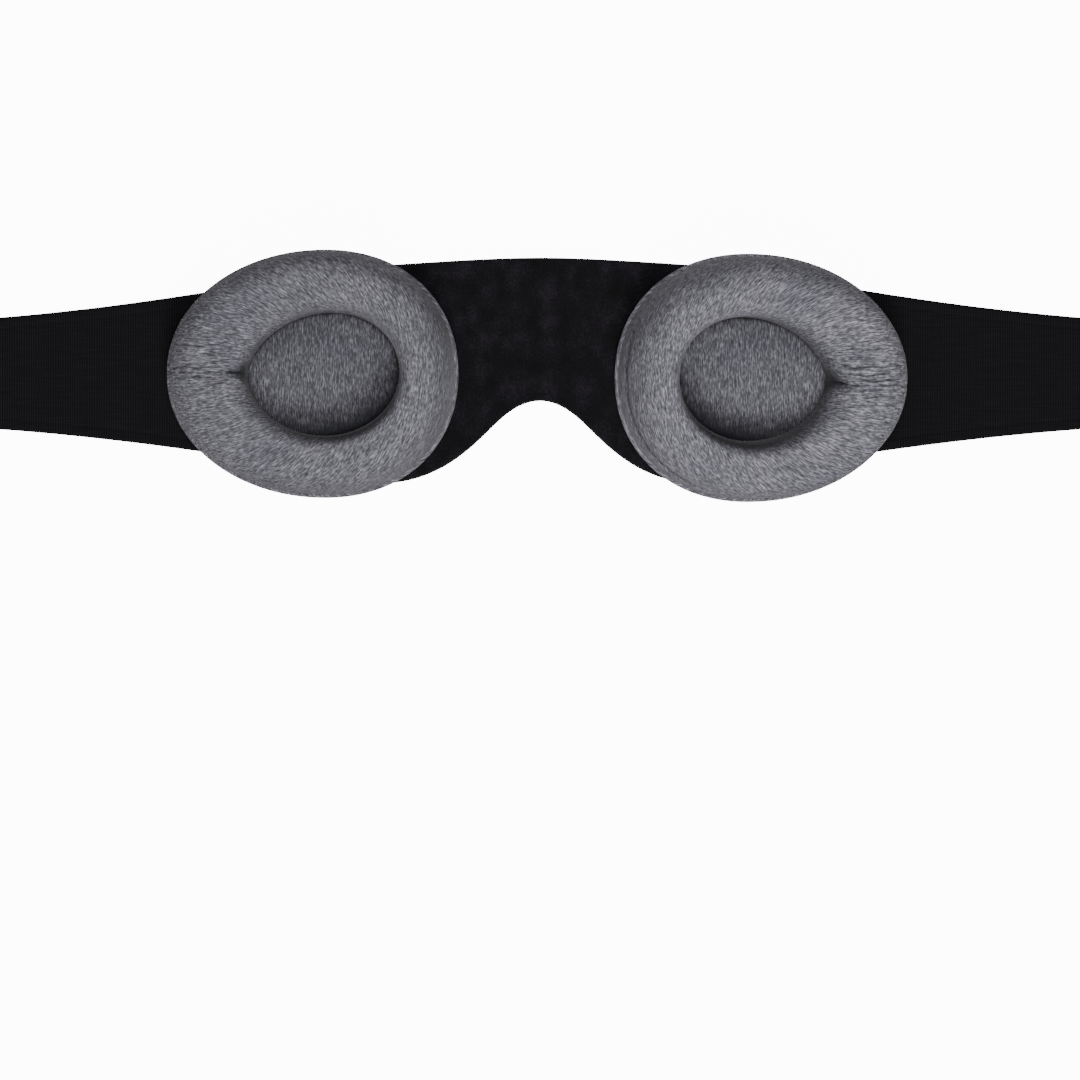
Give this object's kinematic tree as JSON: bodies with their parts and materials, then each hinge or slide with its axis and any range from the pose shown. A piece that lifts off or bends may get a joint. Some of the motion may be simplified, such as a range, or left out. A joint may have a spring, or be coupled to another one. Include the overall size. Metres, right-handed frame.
{
  "type": "sleep eye mask",
  "caption": "Contoured sleep eye mask: soft band with a nose notch, elastic straps with a hook closure and hollow foam eye cups that slide along it.",
  "frame": {"origin": "on the surface the mask lies on, under the nose line, level with the middles of the eye cups", "axes": "+X along the band towards the right end as seen from the face side, +Y towards the forehead, +Z out of the face side"},
  "size_m": [0.72, 0.0714, 0.025],
  "materials": {
    "loop_fabric": "black brushed loop knit",
    "outer_fabric": "black smooth knit",
    "elastic": "black ribbed woven elastic",
    "tape": "black woven tape",
    "heather_knit": "grey heather knit",
    "foam": "dark moulded foam",
    "hook_plastic": "black moulded hooks",
    "board": "stiff backing sheet",
    "thread": "black sewing thread"
  },
  "bodies": {
    "panel": {"outer_shell": "outer_fabric", "face_loop_panel": "loop_fabric", "panel_foam_core": "foam", "right_strap_length_1": "elastic", "right_seam_stitches": "thread", "left_strap_length_1": "elastic", "left_seam_stitches": "thread"},
    "right_cup": {"right_cup_cover": "heather_knit", "right_cup_foam": "foam", "right_cup_edge_welt": "heather_knit", "right_cup_backing_board": "board", "right_cup_hook_pad": "hook_plastic", "right_cup_eye_liner": "heather_knit"},
    "right_strap_2": {"right_strap_length_2": "elastic"},
    "right_strap_3": {"right_strap_length_3": "elastic"},
    "right_strap_4": {"right_strap_length_4": "elastic"},
    "right_strap_5": {"right_strap_length_5": "elastic"},
    "right_strap_6": {"right_strap_length_6": "elastic"},
    "right_strap_7": {"right_strap_length_7": "elastic", "right_strap_end_cap": "tape", "right_loop_patch": "loop_fabric", "right_loop_patch_stitches": "thread"},
    "left_cup": {"left_cup_cover": "heather_knit", "left_cup_foam": "foam", "left_cup_edge_welt": "heather_knit", "left_cup_backing_board": "board", "left_cup_hook_pad": "hook_plastic", "left_cup_eye_liner": "heather_knit"},
    "left_strap_2": {"left_strap_length_2": "elastic"},
    "left_strap_3": {"left_strap_length_3": "elastic"},
    "left_strap_4": {"left_strap_length_4": "elastic"},
    "left_strap_5": {"left_strap_length_5": "elastic"},
    "left_strap_6": {"left_strap_length_6": "elastic"},
    "left_strap_7": {"left_strap_length_7": "elastic", "left_strap_end_cap": "tape", "left_hook_tab": "hook_plastic", "left_hook_tab_stitches": "thread"}
  },
  "joints": [
    {"name": "right_cup_slide", "type": "slide", "parent": "panel", "child": "right_cup", "axis": [-1, 0, 0], "range_m": [0, 0.017]},
    {"name": "right_strap_wrap", "type": "hinge", "parent": "panel", "child": "right_strap_2", "pos_m": [0.112, 0, 0.0018], "axis": [0, -1, 0], "range_deg": [0, 48]},
    {"name": "right_strap_bend_2", "type": "hinge", "parent": "right_strap_2", "child": "right_strap_3", "pos_m": [0.136, 0, 0.0018], "axis": [0, -1, 0], "range_deg": [0, 34.01]},
    {"name": "right_strap_bend_3", "type": "hinge", "parent": "right_strap_3", "child": "right_strap_4", "pos_m": [0.166, 0, 0.0018], "axis": [0, -1, 0], "range_deg": [0, 27.01]},
    {"name": "right_strap_bend_4", "type": "hinge", "parent": "right_strap_4", "child": "right_strap_5", "pos_m": [0.2, 0, 0.0018], "axis": [0, -1, 0], "range_deg": [0, 25.01]},
    {"name": "right_strap_bend_5", "type": "hinge", "parent": "right_strap_5", "child": "right_strap_6", "pos_m": [0.236, 0, 0.0018], "axis": [0, -1, 0], "range_deg": [0, 24.01]},
    {"name": "right_strap_bend_6", "type": "hinge", "parent": "right_strap_6", "child": "right_strap_7", "pos_m": [0.272, 0, 0.0018], "axis": [0, -1, 0], "range_deg": [0, 22.01]},
    {"name": "left_cup_slide", "type": "slide", "parent": "panel", "child": "left_cup", "axis": [1, 0, 0], "range_m": [0, 0.017]},
    {"name": "left_strap_wrap", "type": "hinge", "parent": "panel", "child": "left_strap_2", "pos_m": [-0.112, 0, 0.0018], "axis": [0, 1, 0], "range_deg": [0, 48]},
    {"name": "left_strap_bend_2", "type": "hinge", "parent": "left_strap_2", "child": "left_strap_3", "pos_m": [-0.13684, 0, 0.0018], "axis": [0, 1, 0], "range_deg": [0, 34.01]},
    {"name": "left_strap_bend_3", "type": "hinge", "parent": "left_strap_3", "child": "left_strap_4", "pos_m": [-0.16789, 0, 0.0018], "axis": [0, 1, 0], "range_deg": [0, 27.01]},
    {"name": "left_strap_bend_4", "type": "hinge", "parent": "left_strap_4", "child": "left_strap_5", "pos_m": [-0.20308, 0, 0.0018], "axis": [0, 1, 0], "range_deg": [0, 25.01]},
    {"name": "left_strap_bend_5", "type": "hinge", "parent": "left_strap_5", "child": "left_strap_6", "pos_m": [-0.24034, 0, 0.0018], "axis": [0, 1, 0], "range_deg": [0, 24.01]},
    {"name": "left_strap_bend_6", "type": "hinge", "parent": "left_strap_6", "child": "left_strap_7", "pos_m": [-0.2776, 0, 0.0018], "axis": [0, 1, 0], "range_deg": [0, 22.01]}
  ],
  "couplings": [
    {"joint": "right_strap_bend_2", "follows": "right_strap_wrap", "ratio": 0.70833},
    {"joint": "right_strap_bend_3", "follows": "right_strap_wrap", "ratio": 0.5625},
    {"joint": "right_strap_bend_4", "follows": "right_strap_wrap", "ratio": 0.52083},
    {"joint": "right_strap_bend_5", "follows": "right_strap_wrap", "ratio": 0.5},
    {"joint": "right_strap_bend_6", "follows": "right_strap_wrap", "ratio": 0.45833},
    {"joint": "left_strap_bend_2", "follows": "left_strap_wrap", "ratio": 0.70833},
    {"joint": "left_strap_bend_3", "follows": "left_strap_wrap", "ratio": 0.5625},
    {"joint": "left_strap_bend_4", "follows": "left_strap_wrap", "ratio": 0.52083},
    {"joint": "left_strap_bend_5", "follows": "left_strap_wrap", "ratio": 0.5},
    {"joint": "left_strap_bend_6", "follows": "left_strap_wrap", "ratio": 0.45833}
  ]
}
